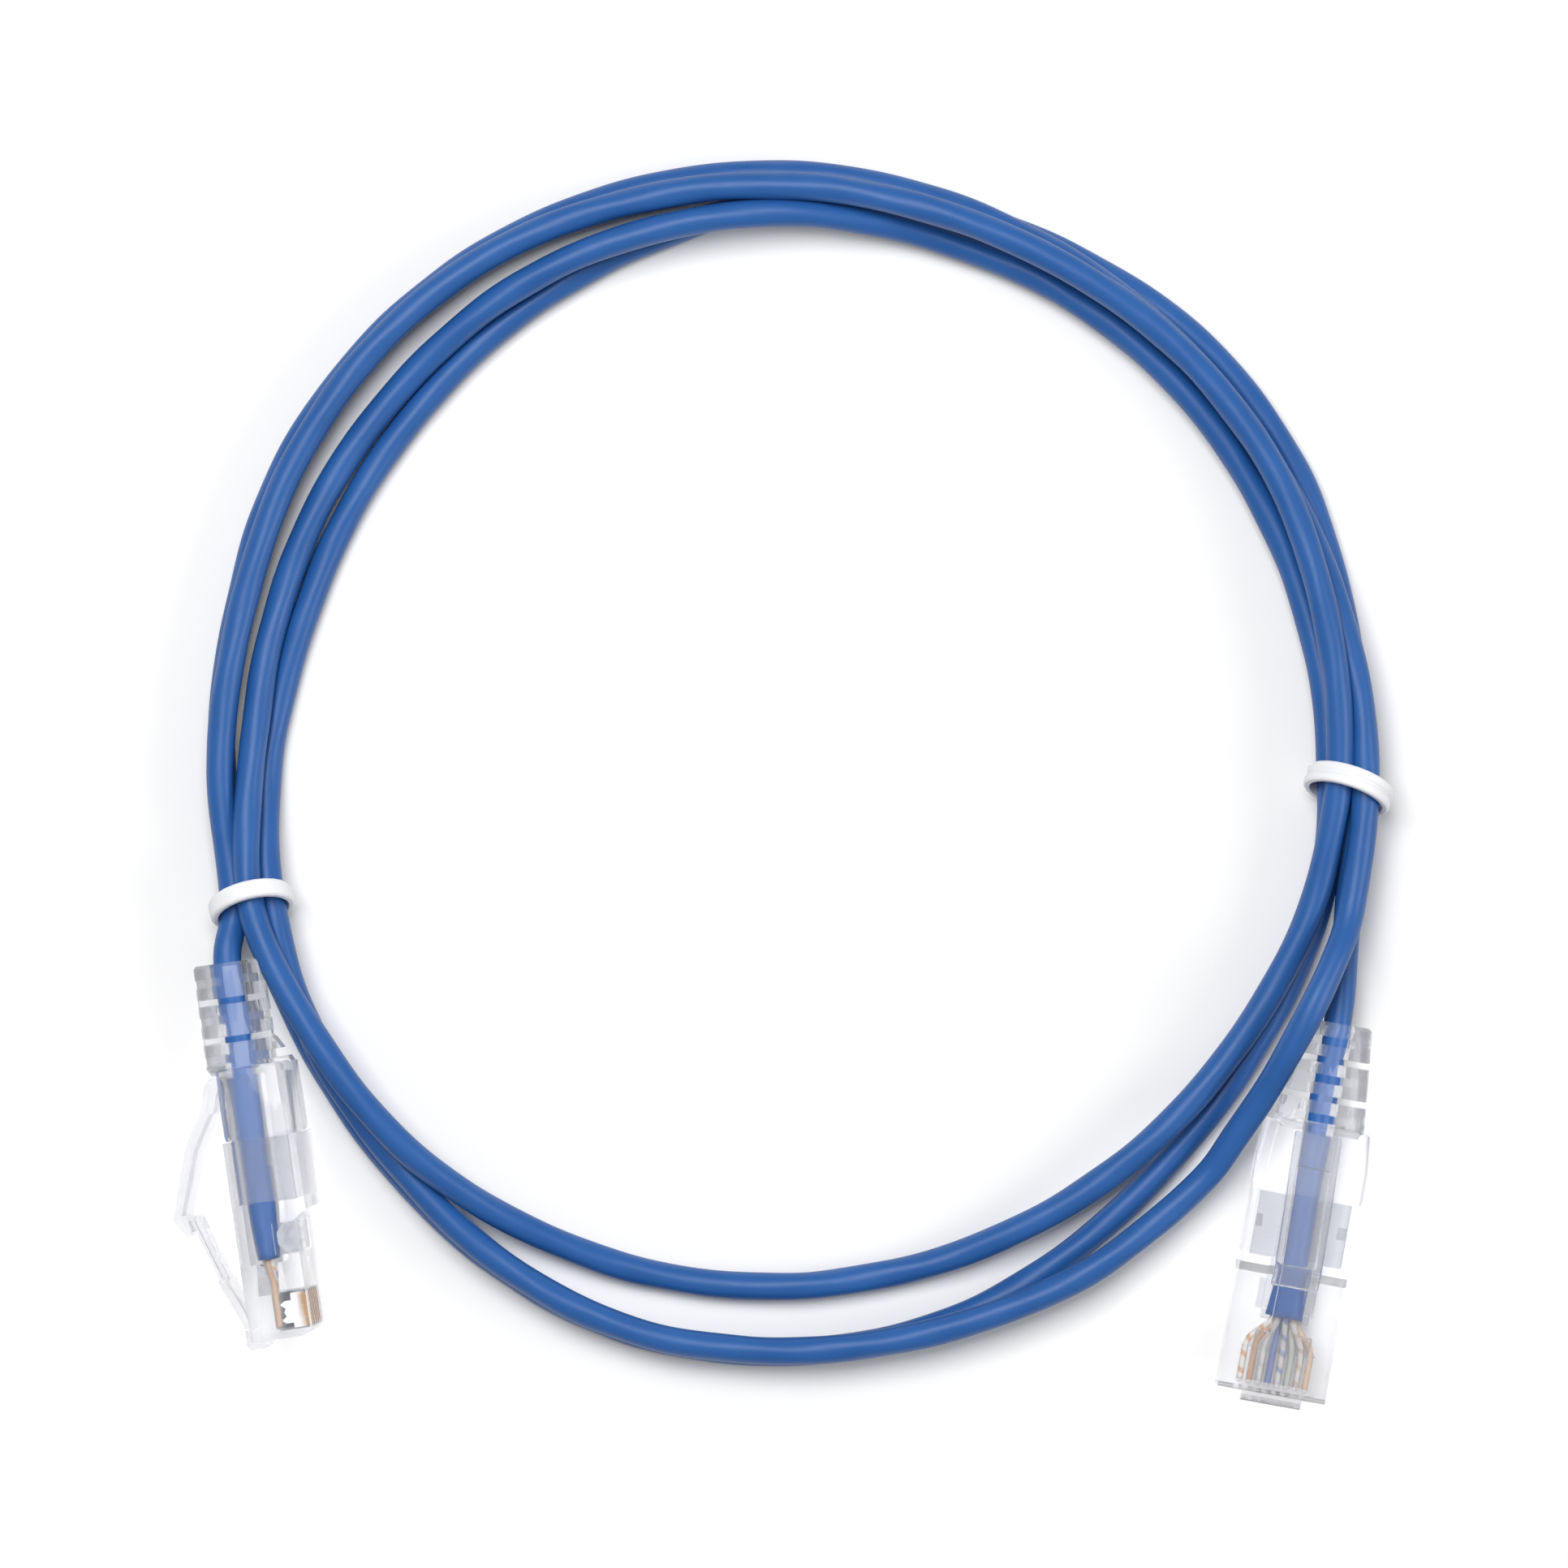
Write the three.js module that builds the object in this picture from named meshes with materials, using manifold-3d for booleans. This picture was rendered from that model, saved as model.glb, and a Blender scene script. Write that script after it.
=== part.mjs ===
// Ethernet patch cable, coiled and tied: a round jacket over eight insulated conductors, an
// eight-contact modular plug with a snagless boot at each end, and two ties round the coil.
// Millimetres, +Z up, the coil lying on z = 0.
import * as THREE from "three";
import Module from "manifold-3d";

const wasm = await Module();
wasm.setup();
const { Manifold, CrossSection } = wasm;

// ---------- driving dimensions ----------
const CABLE_R = 1.5; // outer radius of the jacket
const BORE_R = 1.15; // inner radius of the jacket
const WIRE_R = 0.25; // radius of one insulated conductor
const WIRE_RING_R = 0.76; // the conductors lie on this radius inside the jacket
const PIN_PITCH = 1.016; // spacing of the eight contacts
const WIRE_Z = -0.6; // height of the conductors under the contacts, from the cable axis
const JACKET_END_X = -8.4; // where the jacket stops, behind the plug's nose
const WIRE_END_X = -1.15; // front ends of the conductors
const FAN_END_X = -4.9; // from here forward the conductors run side by side

const PLUG_W = 11.68; // width of the plug
const LATCH_FACE_Z = 2.45; // face the latch stands on, above the cable axis
const FRONT_FACE_Z = -4.15; // contact-side face of the plug's front half
const REAR_FACE_Z = -5.45; // contact-side face of its rear half
const STEP_X = -13.4; // where the two halves meet
const PLUG_END_X = -21.5; // back of the plug
const TAIL_END_X = -40.6; // back of the boot
const CAVITY_X = -14.6; // front of the hollow the boot's sleeve plugs into
const GAP = 0.1; // clearance between pieces that fit into each other
const REACH = 9; // a cutter this far from the axis comes out of the plug or boot on every side

const COIL_X = 1.05; // centre of the coil
const COIL_Y = 2.49;
const MIDDLE_X = 0.37; // middle of the whole, plugs and ties with it
const MIDDLE_Y = 0.33;
const TURN_STEP = 15; // degrees between stations on the coil
const COIL_START = 255; // angle of the first station, clockwise from +Y

// Cable route round the coil, clockwise from COIL_START: radius and height of the centreline.
const TURN_1 = [
  [62.1, 5.1], [61.5, 4.7], [61.4, 4.6], [62.5, 4.6], [63.5, 4.7], [63.7, 4.7],
  [63, 4.8], [62.3, 6.1], [61.4, 7.8], [61.1, 7.7], [61.2, 6.8], [60.8, 6.9],
  [59.7, 7.4], [59.1, 6.75], [58.3, 5.3], [57, 4.9], [56.3, 4.9], [56, 3.7],
  [56.1, 1.9], [56.5, 1.9], [57.1, 1.9], [57.7, 3.6], [58.5, 7.7], [58.9, 8.4],
];
const TURN_2 = [
  [60, 7.2], [58.1, 4.9], [57.8, 2.7], [58.2, 2.6], [58.6, 2.6], [59.3, 4.5],
  [59.4, 5.4], [59.4, 5.2], [59, 2.5], [58.9, 2.4], [58.7, 2.5], [58.3, 2.5],
  [58.2, 2.6], [58.3, 3.85], [59.1, 2.6], [58.8, 2.1], [59.2, 2], [60.9, 1.9],
  [62.8, 1.8], [63.6, 1.7], [63.8, 1.6], [62.7, 1.6], [61.1, 1.5], [60.1, 1.5],
];
const TURN_3 = [
  [60, 2.95], [61.5, 1.5], [62, 1.5], [63.4, 1.6], [64.1, 1.7], [64.4, 1.7],
  [64.2, 1.9], [63.7, 3.3], [62.7, 5], [61.9, 4.8], [61.5, 3.7], [61.2, 3.8],
  [61.4, 5], [62, 6.15], [62.3, 7.1],
];
// Over the second boot's tail the third turn has stations of its own: angle, radius, height.
const HUMP = [
  [1190, 62.1, 9.2], [1195, 61.8, 10.3], [1200, 61.8, 9.4], [1205, 62.1, 7.4], [1210, 62.5, 5.7],
];
const TURN_3_END = [
  [63.2, 4.2], [63.5, 4.8], [63.2, 4.8], [63.3, 4.8], [63.4, 4.8], [62.2, 4.8],
  [60.3, 4.8], [59.3, 4.8],
];
const TURN_4 = [
  [57.9, 4.9], [56.4, 1.7], [55, 1.5], [55, 1.5], [55.7, 1.5], [57.1, 1.5],
  [58.7, 1.5], [61, 1.5], [62.2, 1.5], [62.8, 1.5], [63.6, 1.5], [63.2, 1.5],
  [61.9, 1.5], [61.15, 3.3], [62.3, 3.5],
];

// ---------- plug placement ----------
// Plug A lies on its side with its latch outwards, plug B lies on its contact side.
const ROLL_A = THREE.MathUtils.degToRad(5.5);
const NOSE_A = new THREE.Vector3(-53.71, -59.03, 6.4);
const NOSE_B = new THREE.Vector3(52.72, -65.37, 5.46);
const AXIS_A = new THREE.Vector3(0.1426, -0.9898, 0).normalize();
const AXIS_B = new THREE.Vector3(-0.1788, -0.9839, 0).normalize();

function plugFrame(nose, axis, up) {
  const side = new THREE.Vector3().crossVectors(up, axis);
  return new THREE.Matrix4().makeBasis(axis, side, up).setPosition(nose);
}
const UP_A = new THREE.Vector3(AXIS_A.y, -AXIS_A.x, 0)
  .multiplyScalar(Math.cos(ROLL_A))
  .add(new THREE.Vector3(0, 0, -Math.sin(ROLL_A)));
const FRAME_A = plugFrame(NOSE_A, AXIS_A, UP_A);
const FRAME_B = plugFrame(NOSE_B, AXIS_B, new THREE.Vector3(0, 0, 1));
const inPlug = (frame, x, y, z) => new THREE.Vector3(x, y, z).applyMatrix4(frame);

// ---------- materials ----------
const shade = (color, roughness, extra = {}) =>
  new THREE.MeshStandardMaterial({ color, roughness, ...extra });
const CLEAR = { transparent: true, opacity: 0.35 };
const materialOf = {
  jacket: () => shade(0x3f6fb5, 0.45),
  clear: () => shade(0xdfe6ee, 0.1, CLEAR),
  gold: () => shade(0xd9b25a, 0.25, { metalness: 1 }),
  tie: () => shade(0xf4f5f6, 0.5),
};
// Conductor 1 to 8, in the order of the contacts.
const CONDUCTORS = [
  ["white_orange", 0xf2d9b8],
  ["orange", 0xe07a1f],
  ["white_green", 0xd5ead3],
  ["blue", 0x2b57c4],
  ["white_blue", 0xd3dff5],
  ["green", 0x2e8b45],
  ["white_brown", 0xdccbbd],
  ["brown", 0x6b3f23],
];

// ---------- shaping helpers ----------
const root = new THREE.Group();

function addGeometry(name, geometry, material) {
  const mesh = new THREE.Mesh(geometry, material);
  mesh.name = name;
  root.add(mesh);
}

function addSolid(name, solid, material, frame) {
  const data = solid.getMesh();
  const geometry = new THREE.BufferGeometry();
  const points = new Float32Array(data.numVert * 3);
  for (let i = 0; i < data.numVert; i++) {
    const at = i * data.numProp;
    points.set(data.vertProperties.subarray(at, at + 3), i * 3);
  }
  geometry.setAttribute("position", new THREE.BufferAttribute(points, 3));
  geometry.setIndex(new THREE.BufferAttribute(new Uint32Array(data.triVerts), 1));
  if (frame) geometry.applyMatrix4(frame);
  geometry.computeVertexNormals();
  addGeometry(name, geometry, material);
}

const box = (x0, x1, y0, y1, z0, z1) =>
  Manifold.cube([x1 - x0, y1 - y0, z1 - z0]).translate([x0, y0, z0]);

// A side profile of [x, z] points given the width from y0 to y1.
function slab(profile, y0, y1) {
  const flat = new CrossSection([profile], "NonZero");
  return flat.extrude(y1 - y0).rotate([90, 0, 0]).translate([0, y1, 0]);
}

// A rounded section across the plug's axis; squareness 2 is an ellipse, higher is boxier.
function section(x, halfWidth, zTop, zBottom, squareness, sides = 24) {
  const mid = (zTop + zBottom) / 2;
  const halfHeight = (zTop - zBottom) / 2;
  const points = [];
  for (let i = 0; i < sides; i++) {
    const a = ((i + 0.5) / sides) * 2 * Math.PI;
    const bow = (v) => Math.sign(v) * Math.abs(v) ** (2 / squareness);
    points.push([x, halfWidth * bow(Math.cos(a)), mid + halfHeight * bow(Math.sin(a))]);
  }
  return points;
}

// A closed solid through a row of sections with the same number of points.
function loft(sections) {
  const sides = sections[0].length;
  const vertices = sections.flat(2);
  const last = (sections.length - 1) * sides;
  const faces = [];
  for (let s = 0; s < sections.length - 1; s++) {
    for (let i = 0; i < sides; i++) {
      const a = s * sides + i;
      const b = s * sides + ((i + 1) % sides);
      faces.push(a, a + sides, b, b, a + sides, b + sides);
    }
  }
  for (let i = 1; i < sides - 1; i++) {
    faces.push(0, i, i + 1);
    faces.push(last, last + i + 1, last + i);
  }
  const made = (triVerts) =>
    new Manifold(
      new wasm.Mesh({
        numProp: 3,
        vertProperties: new Float32Array(vertices),
        triVerts: new Uint32Array(triVerts),
      }),
    );
  const solid = made(faces);
  return solid.volume() > 0 ? solid : made([...faces].reverse());
}

// ---------- the cable ----------
function coilPoint(angle, radius, height) {
  const a = THREE.MathUtils.degToRad(angle);
  return new THREE.Vector3(
    COIL_X + radius * Math.sin(a),
    COIL_Y + radius * Math.cos(a),
    height,
  );
}

const coil = [];
for (const row of [TURN_1, TURN_2, TURN_3]) {
  for (const [radius, height] of row) {
    coil.push(coilPoint(COIL_START + coil.length * TURN_STEP, radius, height));
  }
}
const regular = coil.length;
for (const [angle, radius, height] of HUMP) coil.push(coilPoint(angle, radius, height));
[...TURN_3_END, ...TURN_4].forEach(([radius, height], i) => {
  coil.push(coilPoint(COIL_START + (regular + 1 + i) * TURN_STEP, radius, height));
});

// Inside each plug and boot the cable runs straight along the plug's axis.
const STRAIGHT_X = [JACKET_END_X, -20, -31, TAIL_END_X - 0.5]; // stations on that stretch
const route = [
  ...STRAIGHT_X.map((x) => inPlug(FRAME_A, x, 0, 0)),
  ...coil,
  ...[...STRAIGHT_X].reverse().map((x) => inPlug(FRAME_B, x, 0, 0)),
];

// A smooth curve that puts a ring of the swept section on every route point.
class StationCurve extends THREE.CatmullRomCurve3 {
  constructor(points, tangents) {
    super(points);
    this.tangents = tangents;
  }
  getPointAt(u, target) {
    return this.getPoint(u, target);
  }
  getTangentAt(u, target) {
    if (!this.tangents) return this.getTangent(u, target);
    const at = Math.round(u * (this.tangents.length - 1));
    return (target ?? new THREE.Vector3()).copy(this.tangents[at]);
  }
}

function ringShape(radius, sides) {
  const shape = new THREE.Shape();
  const turn = (2 * Math.PI) / sides;
  for (let i = 0; i < sides; i++) {
    const x = radius * Math.cos((i + 0.5) * turn);
    const y = radius * Math.sin((i + 0.5) * turn);
    if (i === 0) shape.moveTo(x, y);
    else shape.lineTo(x, y);
  }
  shape.closePath();
  return shape;
}

function sweep(shape, curve) {
  return new THREE.ExtrudeGeometry(shape, {
    steps: curve.points.length - 1,
    extrudePath: curve,
    bevelEnabled: false,
  });
}

const CABLE_SIDES = 8;
const jacketCurve = new StationCurve(route);
const jacketShape = ringShape(CABLE_R, CABLE_SIDES);
jacketShape.holes.push(ringShape(BORE_R, CABLE_SIDES));
addGeometry("cable_jacket", sweep(jacketShape, jacketCurve), materialOf.jacket());

// Conductors lie on a ring inside the jacket, turned so that both ends fan out to the
// contacts without crossing. RING_SLOT is each conductor's place round the ring.
const RING_SLOT = [4, 3, 5, 2, 6, 1, 7, 0];
const slotAngle = (i) => ((RING_SLOT[i] + 0.25) * Math.PI) / 4;
const frames = jacketCurve.computeFrenetFrames(route.length - 1, false);
const sideOf = (frame) => new THREE.Vector3().setFromMatrixColumn(frame, 1);
const angleIn = (k, direction) =>
  Math.atan2(direction.dot(frames.binormals[k]), direction.dot(frames.normals[k]));
const lastStation = route.length - 1;
const angleStart = angleIn(0, sideOf(FRAME_A));
const angleEnd = angleIn(lastStation, sideOf(FRAME_B));
let untwist = angleEnd - angleStart;
if (untwist > Math.PI) untwist -= 2 * Math.PI;
if (untwist < -Math.PI) untwist += 2 * Math.PI;

const pinY = (i) => (i - 3.5) * PIN_PITCH;
const frontEnd = (frame, i) => [
  inPlug(frame, WIRE_END_X, pinY(i), WIRE_Z),
  inPlug(frame, FAN_END_X, pinY(i), WIRE_Z),
];

CONDUCTORS.forEach(([colour, hex], i) => {
  const inside = route.map((p, k) => {
    const a = angleStart + (untwist * k) / lastStation - slotAngle(i);
    return p
      .clone()
      .addScaledVector(frames.normals[k], WIRE_RING_R * Math.cos(a))
      .addScaledVector(frames.binormals[k], WIRE_RING_R * Math.sin(a));
  });
  const points = [...frontEnd(FRAME_A, i), ...inside, ...frontEnd(FRAME_B, i).reverse()];
  const tangents = [
    AXIS_A.clone().negate(),
    AXIS_A.clone().negate(),
    ...frames.tangents,
    AXIS_B,
    AXIS_B,
  ];
  const curve = new StationCurve(points, tangents);
  addGeometry(`conductor_${i + 1}_${colour}`, sweep(ringShape(WIRE_R, 4), curve), shade(hex, 0.5));
});

// ---------- plug housing ----------
const HALF_W = PLUG_W / 2;
const NOSE_BLOCK_W = 6.5; // the block the latch grows from
const NOSE_BLOCK_X = 1.0; // it stands this far in front of the nose
const NOSE_BLOCK_TOP = 3.35;
const LATCH_ROOT_X = -1.3; // the latch bends here
const SLEEVE_W = 10;
const SLEEVE_TOP = 1.7;
const SLEEVE_BOTTOM = -4.6;
const CONTACT_SLOT = 0.5; // width of the slot each contact stands in
const CONTACT_T = 0.35; // thickness of a contact
const BAR_X0 = -12.2; // strain relief bar's window in the contact-side face
const BAR_X1 = -8.8;
const BAR_W = 6.4;
const BAR_WINDOW_TOP = -1.2;
const JACKET_CAVITY_HALF_W = 2.6;
const FAN_H = 2.3; // height of the hollow in which the conductors spread out
const WIRE_CHANNEL_HALF = 0.36; // each conductor runs on in a square channel
const WIRE_CHANNEL_FRONT_X = -0.9;
const CONTACT_SLOT_X = [-4.8, -0.7]; // back and front of each contact's slot
const PINS = 8;

function housing() {
  const outline = slab(
    [
      [0, -3.2],
      [0, LATCH_FACE_Z],
      [PLUG_END_X, LATCH_FACE_Z],
      [PLUG_END_X, REAR_FACE_Z],
      [STEP_X, REAR_FACE_Z],
      [STEP_X + 0.9, FRONT_FACE_Z],
      [-0.9, FRONT_FACE_Z],
      [-0.27, -3.85],
    ],
    -HALF_W,
    HALF_W,
  );
  const noseBlock = slab(
    [
      [NOSE_BLOCK_X, 1.6],
      [NOSE_BLOCK_X, 2.9],
      [NOSE_BLOCK_X - 0.4, NOSE_BLOCK_TOP],
      [LATCH_ROOT_X + GAP, NOSE_BLOCK_TOP],
      [LATCH_ROOT_X + GAP, LATCH_FACE_Z - 0.3],
      [-0.3, 1.2],
      [0.4, 1.2],
    ],
    -NOSE_BLOCK_W / 2,
    NOSE_BLOCK_W / 2,
  );
  let body = outline.add(noseBlock);
  const sleeveCavity = box(
    PLUG_END_X - 1,
    CAVITY_X,
    -SLEEVE_W / 2,
    SLEEVE_W / 2,
    SLEEVE_BOTTOM,
    SLEEVE_TOP,
  );
  const jacketCavity = slab(
    [
      [CAVITY_X - 0.1, -2.3],
      [-9, -1.9],
      [-8, -1.9],
      [-8, 1.7],
      [CAVITY_X - 0.1, 1.7],
    ],
    -JACKET_CAVITY_HALF_W,
    JACKET_CAVITY_HALF_W,
  );
  // The conductors spread out in a hollow that widens towards the contacts.
  const spread = [
    [-8.1, -1.6],
    [-4.7, -4.05],
    [-4.7, 4.05],
    [-8.1, 1.6],
    [-9, 1.6],
    [-9, -1.6],
  ];
  const fan = new CrossSection([spread], "NonZero")
    .extrude(FAN_H)
    .translate([0, 0, -FAN_H / 2]);
  body = body.subtract(sleeveCavity).subtract(jacketCavity).subtract(fan);
  for (let i = 0; i < PINS; i++) {
    const y = pinY(i);
    const half = CONTACT_SLOT / 2;
    const wireHalf = WIRE_CHANNEL_HALF;
    const wireZ = [WIRE_Z - wireHalf, WIRE_Z + wireHalf];
    body = body
      .subtract(box(FAN_END_X, WIRE_CHANNEL_FRONT_X, y - wireHalf, y + wireHalf, ...wireZ))
      .subtract(box(...CONTACT_SLOT_X, y - half, y + half, -REACH, WIRE_Z));
  }
  const barWindow = box(BAR_X0, BAR_X1, -BAR_W / 2, BAR_W / 2, -REACH, BAR_WINDOW_TOP);
  return body.subtract(barWindow);
}

// ---------- latch ----------
const LATCH_ROOT_W = 6.15; // wide shoulders that lock behind the socket's edge
const LATCH_W = 3.2;
const SHOULDER_X = -6.9;

function latch() {
  const side = (y) =>
    slab(
      [
        [LATCH_ROOT_X, 2.62],
        [LATCH_ROOT_X, NOSE_BLOCK_TOP],
        [-1.9, 3.55],
        [-3.4, 4.1],
        [-5.7, 5.15],
        [-13.6, 7.75],
        [-14.1, 7.45],
        [-13.9, 6.7],
        [-5.4, 4.0],
        [-3.2, 3.05],
      ],
      -y,
      y,
    );
  return side(LATCH_W / 2).add(
    side(LATCH_ROOT_W / 2).intersect(box(SHOULDER_X, REACH, -REACH, REACH, 0, REACH)),
  );
}

// ---------- contacts ----------
function contact(i) {
  const y = pinY(i);
  return slab(
    [
      [-1.05, -3.9],
      [-0.85, -3.6],
      [-0.85, -2.2],
      [-1.4, -2.2],
      [-1.4, -1.4],
      [-1.75, -0.95],
      [-2.15, -1.5],
      [-2.6, -1.3],
      [-3.0, -1.5],
      [-3.45, -0.95],
      [-3.8, -1.4],
      [-3.8, -2.2],
      [-4.6, -2.2],
      [-4.6, -3.6],
      [-4.4, -3.9],
    ],
    y - CONTACT_T / 2,
    y + CONTACT_T / 2,
  );
}

// ---------- strain relief bar ----------
function strainBar() {
  return slab(
    [
      [BAR_X0 + GAP, -4.0],
      [BAR_X1 - GAP, -4.0],
      [BAR_X1 - GAP, -2.6],
      [-9.9, -1.62],
      [-11.2, -1.62],
      [BAR_X0 + GAP, -2.3],
    ],
    -BAR_W / 2 + GAP,
    BAR_W / 2 - GAP,
  );
}

// ---------- boot ----------
const BORE_CLEAR_R = 1.62; // hole through the boot's tail, round the jacket
const CHANNEL_HALF_W = 2.2; // wider channel on through the body and the sleeve
const CHANNEL_BOTTOM = -2.2;
const CHANNEL_TOP = 1.65;
const SHOULDER_TAIL_X = -29.1; // body behind the plug ends here, the tail begins
const TAIL_Z = 3.75; // half the tail's height
const WINDOW_X = [-38.6, -34.5, -30.25]; // windows through the tail's flat faces
const WINDOW_L = 0.9; // length of a window along the cable
const WINDOW_HALF_W = 1.5;
const GROOVE_Z = 3.3; // a groove across each flat face joins the window to the tail's sides
const SLOT_X = [-36.55, -32.4]; // flex slots that cut the tail's sides from face to face
const SLOT_L = 0.7;
const WEB_HALF_W = 0.75; // between a pair of slots this much is left over and under the cable
const HEEL_HALF_W = 1.5;
const ARM_POCKET_X = [-28.65, -25]; // pocket in the top that the arm's root sits in
const ARM_POCKET_HALF_W = 2.75;
const ARM_POCKET_FLOOR = 1.95;
const NOTCH_Y = 4.9; // middle of the lock notch in each side of the sleeve
const NOTCH_HALF_DEPTH = 0.8;

function boot() {
  const body = loft([
    section(SHOULDER_TAIL_X - 0.25, 5.5, 2.3, -5.2, 5),
    section(SHOULDER_TAIL_X, 5.7, LATCH_FACE_Z, REAR_FACE_Z, 6),
    section(-25.2, 6.12, LATCH_FACE_Z, REAR_FACE_Z, 7),
    section(-22, 6.1, LATCH_FACE_Z, REAR_FACE_Z, 7),
    section(PLUG_END_X - GAP, 5.95, 2.35, -5.35, 7),
  ]);
  const tail = loft([
    section(TAIL_END_X, 3.6, TAIL_Z - 0.25, 0.25 - TAIL_Z, 2.5),
    section(TAIL_END_X + 0.35, 3.87, TAIL_Z, -TAIL_Z, 2.6),
    section(-35, 4.45, TAIL_Z, -TAIL_Z, 2.8),
    section(-29.5, 4.95, TAIL_Z, -TAIL_Z, 3),
    section(-28.7, 4.95, 3.3, -TAIL_Z, 3),
  ]);
  const heel = slab(
    [
      [-33.2, -3.2],
      [-29.4, REAR_FACE_Z],
      [-26.4, REAR_FACE_Z],
      [-26.4, -3.2],
    ],
    -HEEL_HALF_W,
    HEEL_HALF_W,
  );
  const sleeve = box(
    PLUG_END_X - 0.6,
    CAVITY_X - GAP,
    -SLEEVE_W / 2 + GAP,
    SLEEVE_W / 2 - GAP,
    SLEEVE_BOTTOM + GAP,
    SLEEVE_TOP - GAP,
  );
  let solid = body.add(tail).add(heel).add(sleeve);
  const boreStart = TAIL_END_X - 1;
  const boreLength = CAVITY_X - boreStart;
  const bore = Manifold.cylinder(boreLength, BORE_CLEAR_R, BORE_CLEAR_R, 12)
    .rotate([0, 90, 0])
    .translate([boreStart, 0, 0]);
  solid = solid.subtract(bore);
  const channel = (x0, x1, top) =>
    box(x0, x1, -CHANNEL_HALF_W, CHANNEL_HALF_W, CHANNEL_BOTTOM, top);
  solid = solid
    .subtract(channel(SHOULDER_TAIL_X + 0.9, PLUG_END_X, CHANNEL_TOP))
    .subtract(channel(PLUG_END_X - GAP, CAVITY_X, REACH));
  for (const x of WINDOW_X) {
    const x0 = x - WINDOW_L / 2;
    const x1 = x + WINDOW_L / 2;
    solid = solid
      .subtract(box(x0, x1, -WINDOW_HALF_W, WINDOW_HALF_W, -REACH, REACH))
      .subtract(box(x0, x1, -REACH, REACH, GROOVE_Z, REACH))
      .subtract(box(x0, x1, -REACH, REACH, -REACH, -GROOVE_Z));
  }
  for (const x of SLOT_X) {
    const x0 = x - SLOT_L / 2;
    const x1 = x + SLOT_L / 2;
    solid = solid
      .subtract(box(x0, x1, WEB_HALF_W, REACH, -REACH, REACH))
      .subtract(box(x0, x1, -REACH, -WEB_HALF_W, -REACH, REACH));
  }
  const pocketY = [-ARM_POCKET_HALF_W, ARM_POCKET_HALF_W];
  solid = solid.subtract(box(...ARM_POCKET_X, ...pocketY, ARM_POCKET_FLOOR, REACH));
  const notch = slab(
    [[-18.9, -2], [-17.6, -3.3], [-17.6, -0.7]],
    -NOTCH_HALF_DEPTH,
    NOTCH_HALF_DEPTH,
  );
  for (const side of [-1, 1]) {
    solid = solid.subtract(notch.translate([0, side * NOTCH_Y, 0]));
  }
  return solid;
}

// ---------- boot arm ----------
const ARM_W = 5.1;
const ARM_GROOVE_W = 3.55; // the latch's tip lies in a groove between the arm's side rails
const ARM_OUTER = [
  [-28.5, 3.45],
  [-27.9, 4.05],
  [-25.2, 4.85],
  [-22, 6.75],
  [-21.2, 7.15],
  [-18.8, 7.95],
  [-14.1, 9.4],
  [-13.7, 9.35],
  [-11.9, 8.1],
];
const ARM_INNER = [
  [-28.5, 2.3],
  [-27.3, 2.7],
  [-24.7, 3.55],
  [-21.5, 5.45],
  [-20.7, 5.85],
  [-18.4, 6.6],
  [-14.3, 8.05],
  [-12.4, 7.6],
];
const GROOVE_DEPTH = 0.55;

function bootArm() {
  const side = slab([...ARM_INNER, ...[...ARM_OUTER].reverse()], -ARM_W / 2, ARM_W / 2);
  const floor = ARM_INNER.slice(2, 7);
  const groove = slab(
    [
      ...floor.map(([x, z]) => [x, z - 1]),
      ...[...floor].reverse().map(([x, z]) => [x, z + GROOVE_DEPTH]),
    ],
    -ARM_GROOVE_W / 2,
    ARM_GROOVE_W / 2,
  );
  return side.subtract(groove);
}

// ---------- both plugs ----------
for (const [end, frame] of [["a", FRAME_A], ["b", FRAME_B]]) {
  addSolid(`plug_housing_${end}`, housing(), materialOf.clear(), frame);
  addSolid(`plug_latch_${end}`, latch(), materialOf.clear(), frame);
  addSolid(`strain_relief_bar_${end}`, strainBar(), materialOf.clear(), frame);
  addSolid(`boot_${end}`, boot(), materialOf.clear(), frame);
  addSolid(`boot_arm_${end}`, bootArm(), materialOf.clear(), frame);
  for (let i = 0; i < PINS; i++) {
    addSolid(`contact_${end}_${i + 1}`, contact(i), materialOf.gold(), frame);
  }
}

// ---------- ties ----------
const TIE_T = 0.75; // thickness of the band
const TIE_SIDES = 24;
const TIE_PLAIN = [[-1.0, 0], [-1.0, 0.5], [-0.75, TIE_T], [0.75, TIE_T], [1.0, 0.5], [1.0, 0]];
const TIE_DOUBLE = [
  [-1.15, 0],
  [-1.15, 0.55],
  [-0.9, TIE_T],
  [-0.3, TIE_T],
  [0, 0.5],
  [0.3, TIE_T],
  [0.9, TIE_T],
  [1.15, 0.55],
  [1.15, 0],
];
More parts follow.
